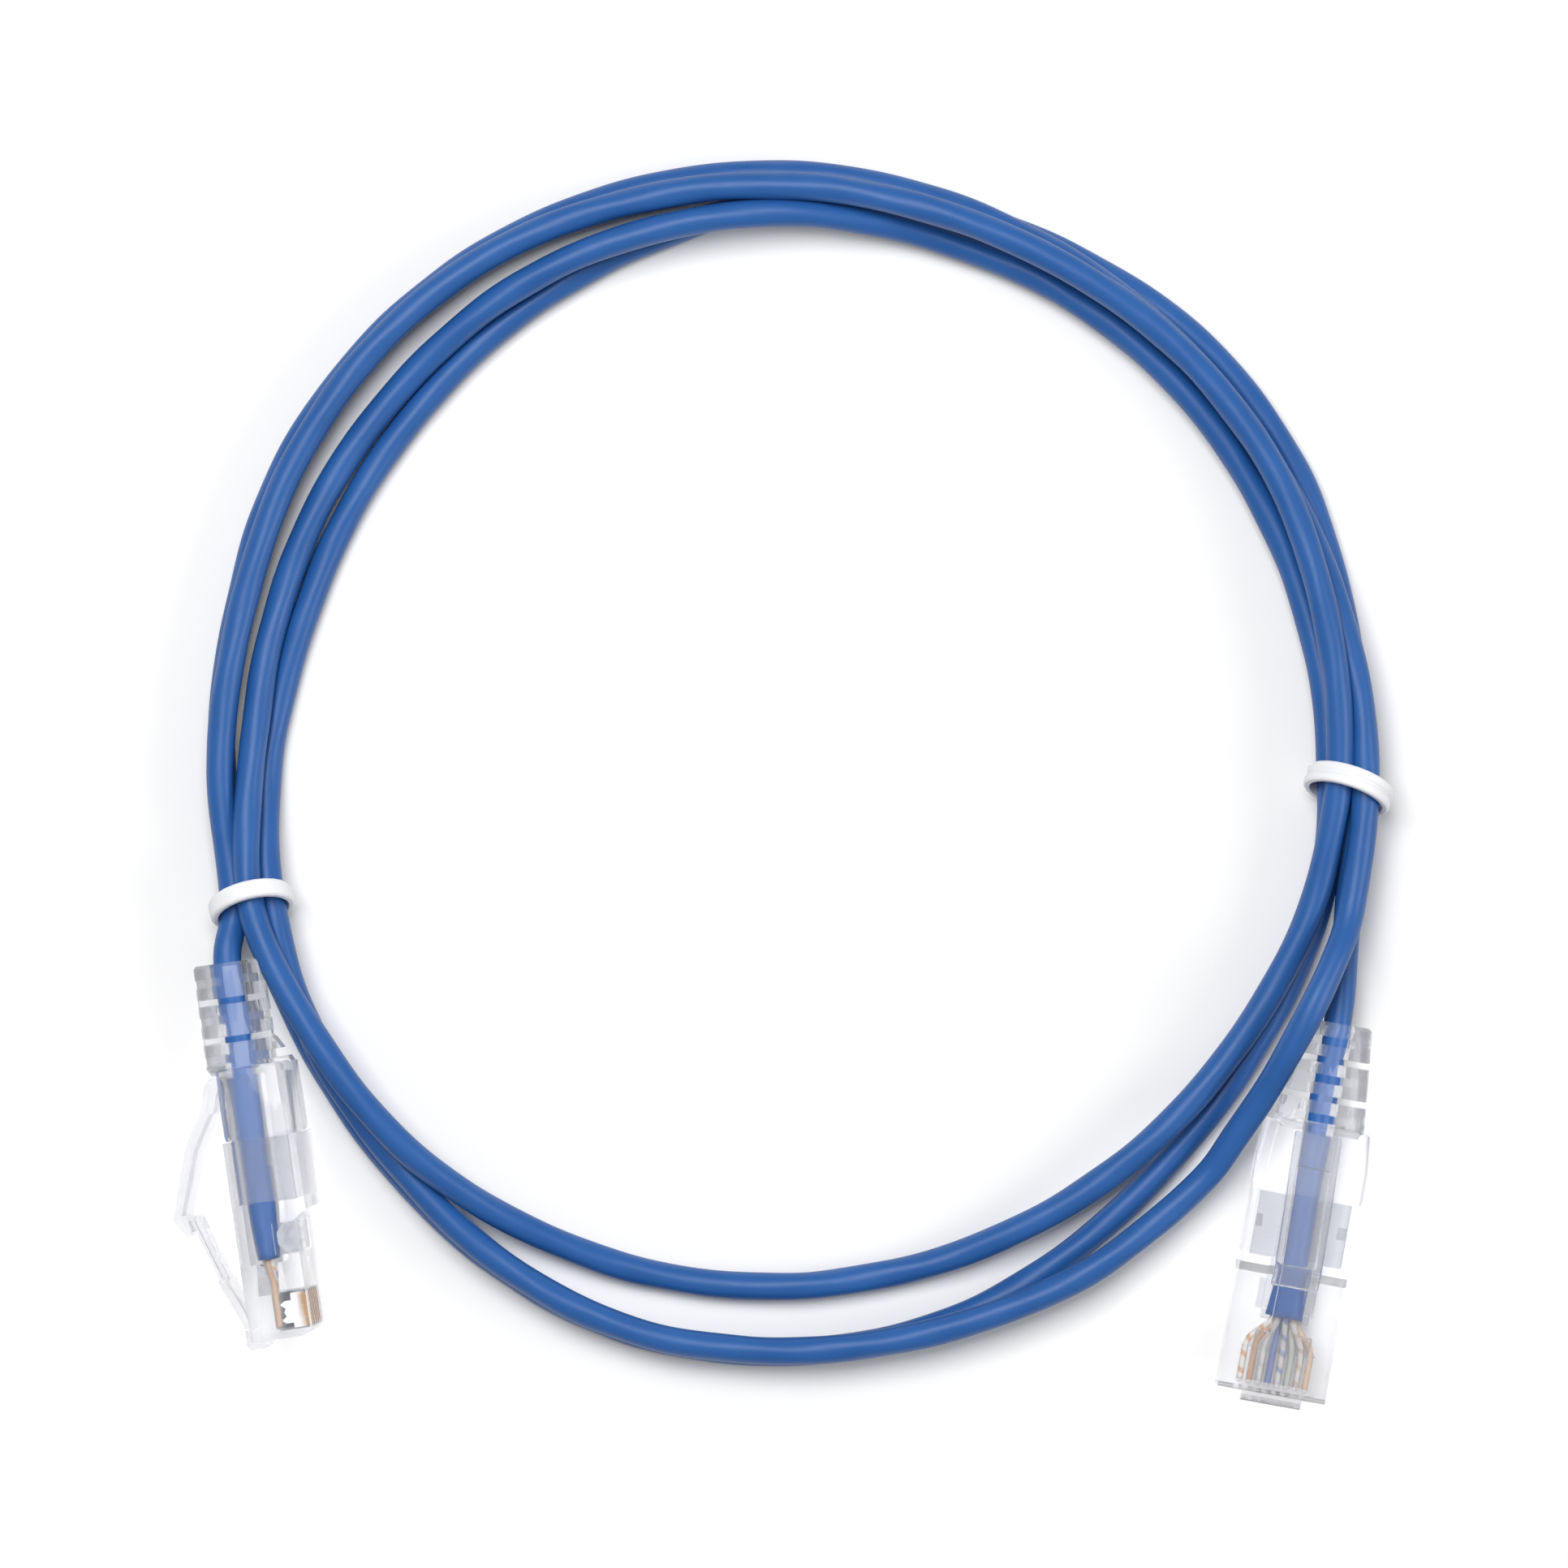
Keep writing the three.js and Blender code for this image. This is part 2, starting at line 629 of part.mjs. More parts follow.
// Each tie is a closed band of [along the cable, outwards] points, turned round the strands.
// It is skewed about the vertical and leans, so its top stands further along than its bottom.
const TIES = [
  {
    name: "cable_tie_a",
    profile: TIE_PLAIN,
    opening: 3.9, // radius of the opening
    stretch: 1.12, // the opening is this much taller than wide
    angle: 255.4, // place on the coil
    radius: 60.0,
    height: 5.16, // centre above the table
    skew: 0,
    lean: 20,
  },
  {
    name: "cable_tie_b",
    profile: TIE_DOUBLE,
    opening: 4.1,
    stretch: 1.05,
    angle: 92.5,
    radius: 60.25,
    height: 5.16,
    skew: 17,
    lean: -16,
  },
];
for (const t of TIES) {
  const points = t.profile.map(([along, out]) => [t.opening + out, along]);
  const ring = new CrossSection([points], "NonZero").revolve(TIE_SIDES);
  const out = THREE.MathUtils.degToRad(t.angle + t.skew);
  const radial = new THREE.Vector3(Math.sin(out), Math.cos(out), 0);
  const up = new THREE.Vector3(0, 0, 1);
  const along = new THREE.Vector3().crossVectors(radial, up);
  const lean = THREE.MathUtils.degToRad(t.lean);
  up.applyAxisAngle(radial, lean);
  along.applyAxisAngle(radial, lean);
  const frame = new THREE.Matrix4()
    .makeBasis(radial, up, along)
    .setPosition(coilPoint(t.angle, t.radius, t.height));
  addSolid(t.name, ring.scale([1, t.stretch, 1]), materialOf.tie(), frame);
}

// The origin goes under the middle of the whole.
root.position.set(-MIDDLE_X, -MIDDLE_Y, 0);

export default root;
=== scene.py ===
"""An ethernet patch cable, coiled and tied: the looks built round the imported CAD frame."""

import math

import bmesh
import bpy
import numpy as np
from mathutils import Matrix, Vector


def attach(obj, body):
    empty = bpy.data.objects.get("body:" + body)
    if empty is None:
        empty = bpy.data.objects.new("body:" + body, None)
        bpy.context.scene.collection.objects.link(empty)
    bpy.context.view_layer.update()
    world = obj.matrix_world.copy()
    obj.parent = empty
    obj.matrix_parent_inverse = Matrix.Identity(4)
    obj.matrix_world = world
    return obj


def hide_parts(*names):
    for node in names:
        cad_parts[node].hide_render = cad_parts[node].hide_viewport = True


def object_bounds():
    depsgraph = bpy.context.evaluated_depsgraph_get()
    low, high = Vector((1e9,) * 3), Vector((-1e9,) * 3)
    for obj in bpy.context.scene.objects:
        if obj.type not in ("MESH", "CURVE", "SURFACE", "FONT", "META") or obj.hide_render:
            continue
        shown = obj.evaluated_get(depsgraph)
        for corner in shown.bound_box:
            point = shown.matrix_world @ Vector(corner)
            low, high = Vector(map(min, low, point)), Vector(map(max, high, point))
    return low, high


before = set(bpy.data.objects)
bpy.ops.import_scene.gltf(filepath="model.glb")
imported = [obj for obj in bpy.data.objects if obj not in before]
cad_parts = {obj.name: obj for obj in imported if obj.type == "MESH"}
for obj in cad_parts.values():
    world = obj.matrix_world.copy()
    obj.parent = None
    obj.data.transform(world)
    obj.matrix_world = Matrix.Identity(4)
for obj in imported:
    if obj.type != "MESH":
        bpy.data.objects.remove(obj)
CAD_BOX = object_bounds()

# ---------- places and sizes, in metres ----------
MM = 0.001
ORIGIN = np.array([-0.37, -0.33, 0.0]) * MM  # brings the origin under the middle of the whole
CABLE_R = 1.5 * MM
BORE_R = 1.15 * MM
WIRE_R = 0.33 * MM
PIN_PITCH = 1.016 * MM
JACKET_END_X = -8.4 * MM  # along the plug's axis from its nose
TAIL_END_X = -40.6 * MM
STRAIGHT_X = [JACKET_END_X, -20 * MM, -31 * MM, TAIL_END_X - 0.5 * MM]  # no bend along these
WIRE_Z = -0.6 * MM

COIL_CENTRE = np.array([1.05, 2.49]) * MM
COIL_START = 255.0  # degrees clockwise from +Y
TURN_STEP = 15.0

# Radius and height of the cable's centreline round the coil, one pair each TURN_STEP degrees.
TURN_1 = [
    (0.0621, 0.0051), (0.0615, 0.0047), (0.0614, 0.0046), (0.0625, 0.0046),
    (0.0635, 0.0047), (0.0637, 0.0047), (0.063, 0.0048), (0.0623, 0.0061),
    (0.0614, 0.0078), (0.0611, 0.0077), (0.0612, 0.0068), (0.0608, 0.0069),
    (0.0597, 0.0074), (0.0591, 0.00675), (0.0583, 0.0053), (0.057, 0.0049),
    (0.0563, 0.0049), (0.056, 0.0037), (0.0561, 0.0019), (0.0565, 0.0019),
    (0.0571, 0.0019), (0.0577, 0.0036), (0.0585, 0.0077), (0.0589, 0.0084),
]
TURN_2 = [
    (0.06, 0.0072), (0.0581, 0.0049), (0.0578, 0.0027), (0.0582, 0.0026),
    (0.0586, 0.0026), (0.0593, 0.0045), (0.0594, 0.0054), (0.0594, 0.0052),
    (0.059, 0.0025), (0.0589, 0.0024), (0.0587, 0.0025), (0.0583, 0.0025),
    (0.0582, 0.0026), (0.0583, 0.00385), (0.0591, 0.0026), (0.0588, 0.0021),
    (0.0592, 0.002), (0.0609, 0.0019), (0.0628, 0.0018), (0.0636, 0.0017),
    (0.0638, 0.0016), (0.0627, 0.0016), (0.0611, 0.0015), (0.0601, 0.0015),
]
TURN_3 = [
    (0.06, 0.00295), (0.0615, 0.0015), (0.062, 0.0015), (0.0634, 0.0016),
    (0.0641, 0.0017), (0.0644, 0.0017), (0.0642, 0.0019), (0.0637, 0.0033),
    (0.0627, 0.005), (0.0619, 0.0048), (0.0615, 0.0037), (0.0612, 0.0038),
    (0.0614, 0.005), (0.062, 0.00615), (0.0623, 0.0071),
]
# Over the second boot's tail: angle, radius, height.
HUMP = [
    (1190, 0.0621, 0.0092), (1195, 0.0618, 0.0103), (1200, 0.0618, 0.0094),
    (1205, 0.0621, 0.0074), (1210, 0.0625, 0.0057),
]
TURN_3_END = [
    (0.0632, 0.0042), (0.0635, 0.0048), (0.0632, 0.0048), (0.0633, 0.0048),
    (0.0634, 0.0048), (0.0622, 0.0048), (0.0603, 0.0048), (0.0593, 0.0048),
]
TURN_4 = [
    (0.0579, 0.0049), (0.0564, 0.0017), (0.055, 0.0015), (0.055, 0.0015),
    (0.0557, 0.0015), (0.0571, 0.0015), (0.0587, 0.0015), (0.061, 0.0015),
    (0.0622, 0.0015), (0.0628, 0.0015), (0.0636, 0.0015), (0.0632, 0.0015),
    (0.0619, 0.0015), (0.06115, 0.0033), (0.0623, 0.0035),
]


class Plug:
    """A plug's own frame: x along its axis out of the nose, y across, z towards the latch."""

    def __init__(self, nose, axis, up):
        self.nose = np.array(nose) * MM + ORIGIN
        self.axis = np.array(axis) / np.linalg.norm(axis)
        self.up = np.array(up) / np.linalg.norm(up)
        self.side = np.cross(self.up, self.axis)

    def at(self, x, y=0.0, z=0.0):
        return self.nose + x * self.axis + y * self.side + z * self.up


ROLL_A = math.radians(5.5)
AXIS_A = np.array([0.1426, -0.9898, 0.0])
UP_A = np.array([AXIS_A[1], -AXIS_A[0], 0.0]) * math.cos(ROLL_A)
UP_A = UP_A + np.array([0.0, 0.0, -math.sin(ROLL_A)])
PLUG_A = Plug((-53.71, -59.03, 6.4), AXIS_A, UP_A)
PLUG_B = Plug((52.72, -65.37, 5.46), (-0.1788, -0.9839, 0.0), (0.0, 0.0, 1.0))
PLUGS = {"a": PLUG_A, "b": PLUG_B}


# ---------- camera, floor and light ----------
CAMERA_HEIGHT = 0.95
VIEW_WIDTH = 0.16905  # width of the table that the picture takes in
MID_HEIGHT = 0.005
SENSOR = 36.0
TENT_LIGHT = 0.3
TENT_SEEN = 0.9
KEY_PLACE = (-0.12, 0.22, 0.75)
KEY_SIZE = 0.42
SIDE_PLACE = (0.7, -0.1, 0.5)
SIDE_SIZE = 0.4
FLOOR_HALF = 0.8
FLOOR_GAP = 0.00002  # the floor lies this far under the object


def add_camera():
    data = bpy.data.cameras.new("camera")
    data.sensor_width = SENSOR
    data.lens = SENSOR * (CAMERA_HEIGHT - MID_HEIGHT) / VIEW_WIDTH
    data.clip_start = 0.01
    camera = bpy.data.objects.new("camera", data)
    camera.location = (0.0, 0.0, CAMERA_HEIGHT)
    bpy.context.scene.collection.objects.link(camera)
    bpy.context.scene.camera = camera


def add_light(name, location, size, power, glossy=True, through=False):
    data = bpy.data.lights.new(name, "AREA")
    data.shape = "SQUARE"
    data.size = size
    data.energy = power
    light = bpy.data.objects.new(name, data)
    light.location = location
    aim = -Vector(location)
    light.rotation_euler = aim.to_track_quat("-Z", "Y").to_euler()
    light.visible_glossy = glossy
    light.visible_transmission = through
    bpy.context.scene.collection.objects.link(light)


def add_surroundings():
    world = bpy.data.worlds.new("studio")
    world.use_nodes = True
    tree = world.node_tree
    background = tree.nodes["Background"]
    background.inputs["Color"].default_value = (1.0, 1.0, 1.0, 1.0)
    # The white tent looks brighter, on its own and through the clear plastic, than it lights.
    ray = tree.nodes.new("ShaderNodeLightPath")
    seen = tree.nodes.new("ShaderNodeMath")
    tree.links.new(ray.outputs["Is Camera Ray"], seen.inputs[0])
    tree.links.new(ray.outputs["Is Transmission Ray"], seen.inputs[1])
    strength = tree.nodes.new("ShaderNodeMapRange")
    strength.inputs["To Min"].default_value = TENT_LIGHT
    strength.inputs["To Max"].default_value = TENT_SEEN
    tree.links.new(seen.outputs["Value"], strength.inputs["Value"])
    tree.links.new(strength.outputs["Result"], background.inputs["Strength"])
    bpy.context.scene.world = world
    bpy.context.scene.view_settings.view_transform = "Standard"
    # The key light is split in two, so that its mirror images don't wash out the clear plastic.
    add_light("softbox_top", KEY_PLACE, KEY_SIZE, 3.1)
    add_light("softbox_top_soft", KEY_PLACE, KEY_SIZE, 3.6, glossy=False)
    add_light("softbox_side", SIDE_PLACE, SIDE_SIZE, 2.2, through=True)
    mesh = bpy.data.meshes.new("floor")
    corners = [(x * FLOOR_HALF, y * FLOOR_HALF, 0) for x, y in ((-1, -1), (1, -1), (1, 1), (-1, 1))]
    mesh.from_pydata(corners, [], [(0, 1, 2, 3)])
    floor = bpy.data.objects.new("floor", mesh)
    floor.location.z = CAD_BOX[0][2] - FLOOR_GAP
    bpy.context.scene.collection.objects.link(floor)
    shader, _ = new_material("floor_paper", (0.78, 0.78, 0.78), 0.9)
    floor.data.materials.append(shader)


# ---------- materials ----------
# Noise scales are in cells per metre, bump distances in metres.
NICKEL, GOLD = (0.95, 0.94, 0.92), (0.50, 0.31, 0.16)
PLATING = "plating"  # 0 where a blade is nickel, 1 where it is gold


class Nodes:
    """Short calls for wiring one material."""

    def __init__(self, material):
        self.tree = material.node_tree
        self.shader = self.tree.nodes["Principled BSDF"]

    def add(self, kind, **values):
        node = self.tree.nodes.new(kind)
        for key, value in values.items():
            setattr(node, key, value)
        return node

    def link(self, source, target):
        self.tree.links.new(source, target)

    def noise(self, scale, detail=3.0):
        node = self.add("ShaderNodeTexNoise")
        node.inputs["Scale"].default_value = scale
        node.inputs["Detail"].default_value = detail
        self.link(self.add("ShaderNodeTexCoord").outputs["Object"], node.inputs["Vector"])
        return node.outputs["Fac"]

    def ramp(self, source, stops):
        node = self.add("ShaderNodeValToRGB")
        ramp = node.color_ramp
        while len(ramp.elements) < len(stops):
            ramp.elements.new(0.5)
        for element, (place, colour) in zip(ramp.elements, stops):
            element.position = place
            element.color = (*colour, 1.0)
        self.link(source, node.inputs["Fac"])
        return node.outputs["Color"]

    def span(self, source, low, high):
        node = self.add("ShaderNodeMapRange")
        node.inputs["To Min"].default_value = low
        node.inputs["To Max"].default_value = high
        self.link(source, node.inputs["Value"])
        return node.outputs["Result"]

    def bump(self, height, strength, distance):
        node = self.add("ShaderNodeBump")
        node.inputs["Strength"].default_value = strength
        node.inputs["Distance"].default_value = distance
        self.link(height, node.inputs["Height"])
        self.link(node.outputs["Normal"], self.shader.inputs["Normal"])

    def set(self, **values):
        for key, value in values.items():
            self.shader.inputs[key.replace("_", " ")].default_value = value


def new_material(name, colour, roughness):
    material = bpy.data.materials.new(name)
    material.use_nodes = True
    nodes = Nodes(material)
    nodes.set(Base_Color=(*colour, 1.0), Roughness=roughness)
    return material, nodes


def jacket_material():
    """Satin blue PVC: faint cloudiness in the colour and an extruded, slightly grainy skin."""
    material, n = new_material("jacket_pvc", (0.016, 0.088, 0.292), 0.42)
    cloud = n.noise(140.0, 3.0)
    colour = n.ramp(cloud, [(0.3, (0.0135, 0.081, 0.274)), (0.7, (0.019, 0.096, 0.31))])
    n.link(colour, n.shader.inputs["Base Color"])
    n.link(n.span(n.noise(900.0, 4.0), 0.34, 0.46), n.shader.inputs["Roughness"])
    n.bump(n.noise(4200.0, 4.0), 0.12, 0.00006)
    n.set(Specular_IOR_Level=0.45)
    return material


def clear_material(name, colour, ior, alpha, clearness):
    """Clear moulded plastic with faint flow marks. Its grey tint is partly painted shade: it is
    darker than the plastic's own tint and stands in for the shade the clear pieces lose because
    they cast no shadow.
    """
    material, n = new_material(name, colour, 0.05)
    n.set(Transmission_Weight=clearness, IOR=ior, Alpha=alpha)
    n.link(n.span(n.noise(700.0, 4.0), 0.02, 0.1), n.shader.inputs["Roughness"])
    n.bump(n.noise(260.0, 2.0), 0.1, 0.0002)
    return material


def contact_material():
    """Nickel-bright blades with gold plating on the edge that the socket's springs touch."""
    material, n = new_material("contact_gold", NICKEL, 0.28)
    n.set(Metallic=0.55)
    plating = n.add("ShaderNodeAttribute", attribute_name=PLATING).outputs["Fac"]
    n.link(n.ramp(plating, [(0.3, NICKEL), (0.7, GOLD)]), n.shader.inputs["Base Color"])
    n.link(n.span(n.noise(2500.0, 4.0), 0.16, 0.34), n.shader.inputs["Roughness"])
    n.bump(n.noise(5000.0, 3.0), 0.1, 0.00003)
    return material


def tie_material():
    material, n = new_material("tie_nylon", (0.74, 0.745, 0.765), 0.45)
    n.link(n.span(n.noise(1200.0, 4.0), 0.36, 0.52), n.shader.inputs["Roughness"])
    n.bump(n.noise(1800.0, 3.0), 0.15, 0.00008)
    n.set(Subsurface_Weight=0.15, Subsurface_Scale=0.001)
    return material


def wire_material(name, colour, stripe):
    """Insulation of one conductor; a striped one carries its partner's colour in a spiral."""
    material, n = new_material("insulation_" + name, colour, 0.38)
    if stripe is not None:
        uv = n.add("ShaderNodeTexCoord").outputs["UV"]
        wave = n.add("ShaderNodeTexWave", wave_type="BANDS", bands_direction="DIAGONAL")
        wave.inputs["Scale"].default_value = 0.35
        n.link(uv, wave.inputs["Vector"])
        mixed = n.ramp(wave.outputs["Fac"], [(0.74, colour), (0.82, stripe)])
        n.link(mixed, n.shader.inputs["Base Color"])
    n.link(n.span(n.noise(1500.0, 3.0), 0.3, 0.46), n.shader.inputs["Roughness"])
    n.bump(n.noise(3000.0, 3.0), 0.1, 0.00004)
    return material


# ---------- curves and meshes ----------
def smooth_path(points, spacing):
    """A centripetal Catmull-Rom curve through the points, sampled about every spacing."""
    p = np.array(points, float)
    p = np.vstack([2 * p[0] - p[1], p, 2 * p[-1] - p[-2]])
    out = []
    for i in range(1, len(p) - 2):
        p0, p1, p2, p3 = p[i - 1 : i + 3]
        t1 = math.sqrt(np.linalg.norm(p1 - p0))
        t2 = t1 + math.sqrt(np.linalg.norm(p2 - p1))
        t3 = t2 + math.sqrt(np.linalg.norm(p3 - p2))
        count = max(1, round(np.linalg.norm(p2 - p1) / spacing))
        for k in range(count):
            t = t1 + (t2 - t1) * k / count
            a1 = (t1 - t) / t1 * p0 + t / t1 * p1
            a2 = (t2 - t) / (t2 - t1) * p1 + (t - t1) / (t2 - t1) * p2
            a3 = (t3 - t) / (t3 - t2) * p2 + (t - t2) / (t3 - t2) * p3
            b1 = (t2 - t) / t2 * a1 + t / t2 * a2
            b2 = (t3 - t) / (t3 - t1) * a2 + (t - t1) / (t3 - t1) * a3
            out.append((t2 - t) / (t2 - t1) * b1 + (t - t1) / (t2 - t1) * b2)
    out.append(p[-2])
    return np.array(out)


def carried_frames(path, first_side, last_side):
    """Two directions across the path at each point, turned evenly so both ends line up."""
    ahead = np.gradient(path, axis=0)
    ahead /= np.linalg.norm(ahead, axis=1)[:, None]
    side = first_side - ahead[0] * (first_side @ ahead[0])
    sides = []
    for t in ahead:
        side = side - t * (side @ t)
        side = side / np.linalg.norm(side)
        sides.append(side)
    sides = np.array(sides)
    ups = np.cross(ahead, sides)
    turn = math.atan2(last_side @ ups[-1], last_side @ sides[-1])
    angle = (np.linspace(0, turn, len(path)))[:, None]
    return (
        sides * np.cos(angle) + ups * np.sin(angle),
        ups * np.cos(angle) - sides * np.sin(angle),
    )


def add_object(name, mesh, material, body, node):
    piece = bpy.data.objects.new(name, mesh)
    bpy.context.scene.collection.objects.link(piece)
    mesh.materials.clear()
    mesh.materials.append(material)
    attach(piece, body)
    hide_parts(node)
    return piece


def tube_data(rings, lengths, base=0):
    """Vertices, faces and UVs of a tube through rings of points."""
    sides = len(rings[0])
    vertices = [tuple(v) for ring in rings for v in ring]
    faces, uvs = [], []
    for k in range(len(rings) - 1):
        for i in range(sides):
            j = (i + 1) % sides
            a, b = k * sides, (k + 1) * sides
            faces.append((base + a + i, base + a + j, base + b + j, base + b + i))
            u0, u1 = lengths[k], lengths[k + 1]
            v0, v1 = i / sides, (i + 1) / sides
            uvs += [(u0, v0), (u0, v1), (u1, v1), (u1, v0)]
    return vertices, faces, uvs


def make_mesh(name, vertices, faces, uvs):
    mesh = bpy.data.meshes.new(name)
    mesh.from_pydata(vertices, [], faces)
    layer = mesh.uv_layers.new(name="UVMap")
    layer.data.foreach_set("uv", np.array(uvs, np.float32).ravel())
    mesh.polygons.foreach_set("use_smooth", [True] * len(mesh.polygons))
    mesh.update()
    return mesh


# ---------- the cable ----------
def coil_point(angle, radius, height):
    a = math.radians(angle)
    x = COIL_CENTRE[0] + radius * math.sin(a)
    y = COIL_CENTRE[1] + radius * math.cos(a)
    return np.array([x, y, height]) + ORIGIN


def route_points():
    points = []
    for radius, height in TURN_1 + TURN_2 + TURN_3:
        points.append(coil_point(COIL_START + len(points) * TURN_STEP, radius, height))
    skipped = len(points) + 1  # the hump takes the place of one station
    points += [coil_point(*place) for place in HUMP]
    for i, (radius, height) in enumerate(TURN_3_END + TURN_4):
        points.append(coil_point(COIL_START + (skipped + i) * TURN_STEP, radius, height))
    start = [PLUG_A.at(x) for x in STRAIGHT_X]
    end = [PLUG_B.at(x) for x in reversed(STRAIGHT_X)]
    return start + points + end


RING_SIDES = 28
RING_SPACING = 0.0008
FLATTENED = 7 * MM  # the jacket is pressed flat over this length at each end
BORE_RINGS = 5


# The soft ripple of the twisted pairs: waves round the cable, depth as a share of its radius,
# length of a turn along it in metres, and phase.
RIPPLE = [(2, 0.016, -0.0135, 0.0), (3, 0.012, -0.0095, 0.8), (4, 0.006, 0.019, 0.0)]
KINK_DEPTH = 0.035  # slight kinks from handling, as a share of the radius
KINK_LENGTH, KINK_FADE, KINK_TURN = 0.0163, 0.071, 0.113  # metres along the cable
PRESS_EASE = 1.5
PRESSED_WIDER, PRESSED_LOWER = 0.38, 0.2


def jacket_ring(centre, side, up, s, total, radius):
    """One ring: round, with its ripple and kinks, and pressed flat near the ends."""
    near_end = min(s, total - s)
    press = max(0.0, 1.0 - near_end / FLATTENED) ** PRESS_EASE
    phi = np.linspace(0, 2 * math.pi, RING_SIDES, endpoint=False)
    lay = 2 * math.pi * s
    ripple = KINK_DEPTH * np.sin(lay / KINK_LENGTH) * np.sin(lay / KINK_FADE + 1.0)
    ripple = ripple * np.cos(phi - lay / KINK_TURN)
    for waves, depth, turn, phase in RIPPLE:
        ripple = ripple + depth * np.sin(waves * phi + lay / turn + phase)
    r = radius * (1 + ripple)
    wide = (1 + PRESSED_WIDER * press) * r * np.cos(phi)
    high = (1 - PRESSED_LOWER * press) * r * np.sin(phi)
    ring = centre + wide[:, None] * side + high[:, None] * up
    ring[:, 2] = np.maximum(ring[:, 2], CAD_BOX[0][2])  # it rests on the table
    return ring


def build_cable():
    path = smooth_path(route_points(), RING_SPACING)
    sides, ups = carried_frames(path, PLUG_A.side, PLUG_B.side)
    steps = np.linalg.norm(np.diff(path, axis=0), axis=1)
    s = np.concatenate([[0], np.cumsum(steps)])
    total = s[-1]
    rings = [
        jacket_ring(path[k], sides[k], ups[k], s[k], total, CABLE_R) for k in range(len(path))
    ]
    # The cut ends show the wall's thickness, and the bore goes a little way in.
    depth = BORE_RINGS
    for end, step in ((0, 1), (len(path) - 1, -1)):
        bore = [
            jacket_ring(path[k], sides[k], ups[k], s[k], total, BORE_R)
            for k in range(end, end + step * depth, step)
        ]
        if step == 1:
            rings = bore[::-1] + rings
        else:
            rings = rings + bore
    lengths = np.concatenate([np.zeros(depth), s, np.full(depth, total)]) / MM
    vertices, faces, uvs = tube_data(rings, lengths)
    mesh = make_mesh("jacket", vertices, faces, uvs)
    piece = add_object("jacket", mesh, jacket_material(), "cord", "cable_jacket")
    return piece, path


# Name, colour and stripe of each conductor, in the order of the contacts.
ORANGE, GREEN = (0.50, 0.30, 0.17), (0.42, 0.43, 0.38)
BLUE, BROWN = (0.16, 0.20, 0.37), (0.46, 0.33, 0.24)
PALE = (0.56, 0.53, 0.49)
CONDUCTORS = [
    ("white_orange", PALE, ORANGE),
    ("orange", ORANGE, None),
    ("white_green", PALE, GREEN),
    ("blue", BLUE, None),
    ("white_blue", PALE, BLUE),
    ("green", GREEN, None),
    ("white_brown", PALE, BROWN),
    ("brown", BROWN, None),
]
RING_SLOT = [4, 3, 5, 2, 6, 1, 7, 0]  # each conductor's place round the core
CORE_HALF_W = 0.888 * MM  # the core is pressed flat with the jacket
CORE_HALF_H = 0.555 * MM
WIRE_SPACING = 0.0003
WIRE_SIDES = 12
TIP_SCALE = 0.05  # a conductor's end closes to this much of its width


def wire_path(plug, i, flip):
    """From its place in the cable's core a conductor fans out and runs on to its contact."""
    a = (RING_SLOT[i] + 0.25) * math.pi / 4
    core_y = CORE_HALF_W * math.cos(a)
    core_z = CORE_HALF_H * math.sin(a) * flip
    pin_y = (i - 3.5) * PIN_PITCH
    stations = [
        (-16, core_y, core_z),
        (-12, core_y, core_z),
        (-8.9, core_y, core_z),
        (-7.6, 0.75 * core_y + 0.25 * pin_y, 0.7 * core_z + 0.3 * WIRE_Z),
        (-5.6, 0.1 * core_y + 0.9 * pin_y, WIRE_Z),
        (-4.4, pin_y, WIRE_Z),
        (-2.6, pin_y, WIRE_Z),
        (-1.1, pin_y, WIRE_Z),
    ]
    return smooth_path([plug.at(x * MM, y, z) for x, y, z in stations], WIRE_SPACING)


def build_wires():
    for i, (name, colour, stripe) in enumerate(CONDUCTORS):
        vertices, faces, uvs = [], [], []
        for plug, flip in ((PLUG_A, 1), (PLUG_B, -1)):
            path = wire_path(plug, i, flip)
            sides, ups = carried_frames(path, plug.side, plug.side)
            phi = np.linspace(0, 2 * math.pi, WIRE_SIDES, endpoint=False)[:, None]
            rings = [
                path[k] + WIRE_R * (np.cos(phi) * sides[k] + np.sin(phi) * ups[k])
                for k in range(len(path))
            ]
            for end, inner in ((0, path[0]), (-1, path[-1])):
                small = inner + (rings[end] - inner) * TIP_SCALE
                rings = [small] + rings if end == 0 else rings + [small]
            lengths = np.arange(len(rings)) * WIRE_SPACING / MM
            v, f, t = tube_data(rings, lengths, len(vertices))
            vertices += v
            faces += f
            uvs += t
        mesh = make_mesh("wire_" + name, vertices, faces, uvs)
        node = f"conductor_{i + 1}_{name}"
        material = wire_material(name, colour, stripe)
        add_object("wire_" + name, mesh, material, "cord", node)


# ---------- moulded pieces ----------
WELD = 0.000002
FLAT_ANGLE = math.radians(1.0)  # facets closer in direction than this become one face
SMOOTH_ANGLE = math.radians(40)  # edges sharper than this stay creased


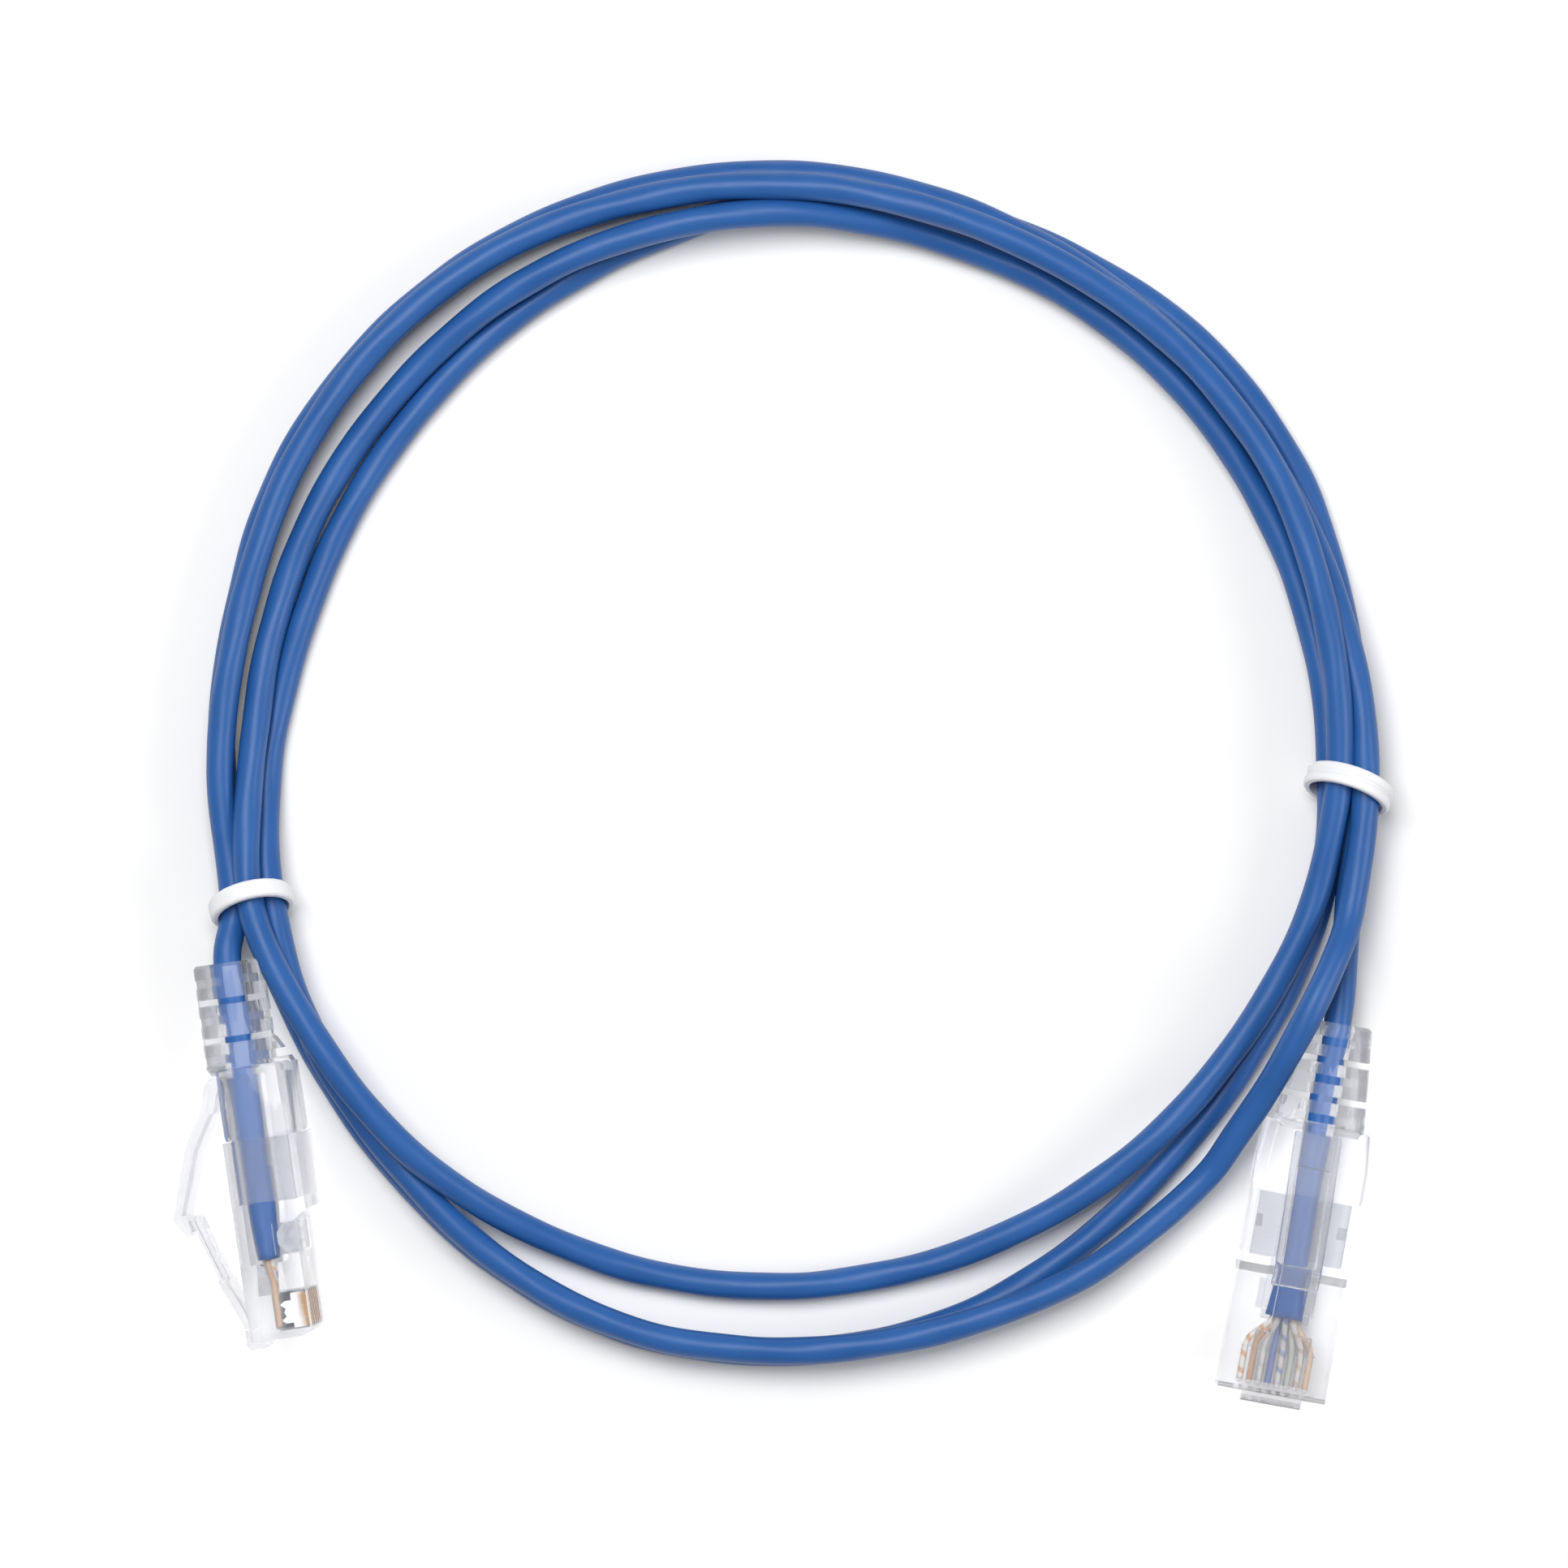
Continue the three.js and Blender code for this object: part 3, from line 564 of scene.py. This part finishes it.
def refined(node, name, material, body, slot, width, segments=2, angle=22.0):
    """A copy of a CAD node with its flat facets joined and its edges rounded."""
    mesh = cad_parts[node].data.copy()
    work = bmesh.new()
    work.from_mesh(mesh)
    bmesh.ops.remove_doubles(work, verts=work.verts, dist=WELD)
    bmesh.ops.dissolve_limit(work, angle_limit=FLAT_ANGLE, verts=work.verts, edges=work.edges)
    limit = math.radians(angle)
    sharp = [e for e in work.edges if len(e.link_faces) == 2 and e.calc_face_angle(0) > limit]
    bmesh.ops.bevel(
        work, geom=sharp, offset=width, segments=segments, profile=0.5, affect="EDGES",
        clamp_overlap=True,
    )
    for face in work.faces:
        face.smooth = True
    for edge in work.edges:
        if len(edge.link_faces) == 2:
            edge.smooth = edge.calc_face_angle(0) < SMOOTH_ANGLE
    work.to_mesh(mesh)
    work.free()
    mesh.name = name
    piece = add_object(name, mesh, material, body, node)
    flat = piece.modifiers.new("flat_faces", "WEIGHTED_NORMAL")
    flat.mode = "FACE_AREA"
    flat.keep_sharp = True
    piece.visible_shadow = slot == "tie_nylon"  # light passes through a plug, blades and all
    return piece


GOLD_Z = (-3.1, -3.9)  # down the blade: where the gold starts, and where it is full


def add_plating(blade, plug):
    """How far down its plug each vertex of a blade is, as an attribute for the material."""
    mesh = blade.data
    places = np.empty(len(mesh.vertices) * 3, np.float32)
    mesh.vertices.foreach_get("co", places)
    z = (places.reshape(-1, 3) - plug.nose) @ plug.up / MM
    gold = np.clip((z - GOLD_Z[0]) / (GOLD_Z[1] - GOLD_Z[0]), 0.0, 1.0)
    layer = mesh.attributes.new(PLATING, "FLOAT", "POINT")
    layer.data.foreach_set("value", gold.astype(np.float32))


# CAD node, name here, material, body and rounding in mm, each with the plug's letter added.
MOULDINGS = [
    ("plug_housing_", "housing_", "housing", "cord", 0.12),
    ("strain_relief_bar_", "relief_bar_", "housing", "cord", 0.1),
    ("boot_", "sleeve_boot_", "boot", "cord", 0.18),
    ("plug_latch_", "latch_", "housing", "plug_latch_", 0.14),
    ("boot_arm_", "arm_", "boot", "boot_arm_", 0.16),
]


def build_plugs():
    clear = {
        # Both grey tints are partly painted shade, darker than the plastic's own, in place of the
        # shadows the clear pieces don't cast.
        "housing": clear_material("clear_polycarbonate", (0.76, 0.765, 0.79), 1.33, 0.86, 0.98),
        "boot": clear_material("clear_boot", (0.77, 0.775, 0.80), 1.4, 0.84, 0.925),
    }
    metal = contact_material()
    pieces = []
    for end, plug in PLUGS.items():
        for node, name, kind, body, width in MOULDINGS:
            rides_on = body if body == "cord" else body + end
            pieces.append(refined(
                node + end, name + end, clear[kind], rides_on, "clear_polycarbonate", width * MM
            ))
        for i in range(1, 9):
            blade = refined(
                f"contact_{end}_{i}", f"blade_{end}_{i}", metal, "cord", "contact_gold", 0.04 * MM
            )
            add_plating(blade, plug)
            pieces.append(blade)
    return pieces


def build_ties():
    nylon = tie_material()
    return [
        refined(f"cable_tie_{end}", f"tie_{end}", nylon, "cord", "tie_nylon", 0.12 * MM, 3, 30.0)
        for end in PLUGS
    ]


add_camera()
add_surroundings()
cable, cable_path = build_cable()
build_wires()
plug_pieces = build_plugs()
ties = build_ties()
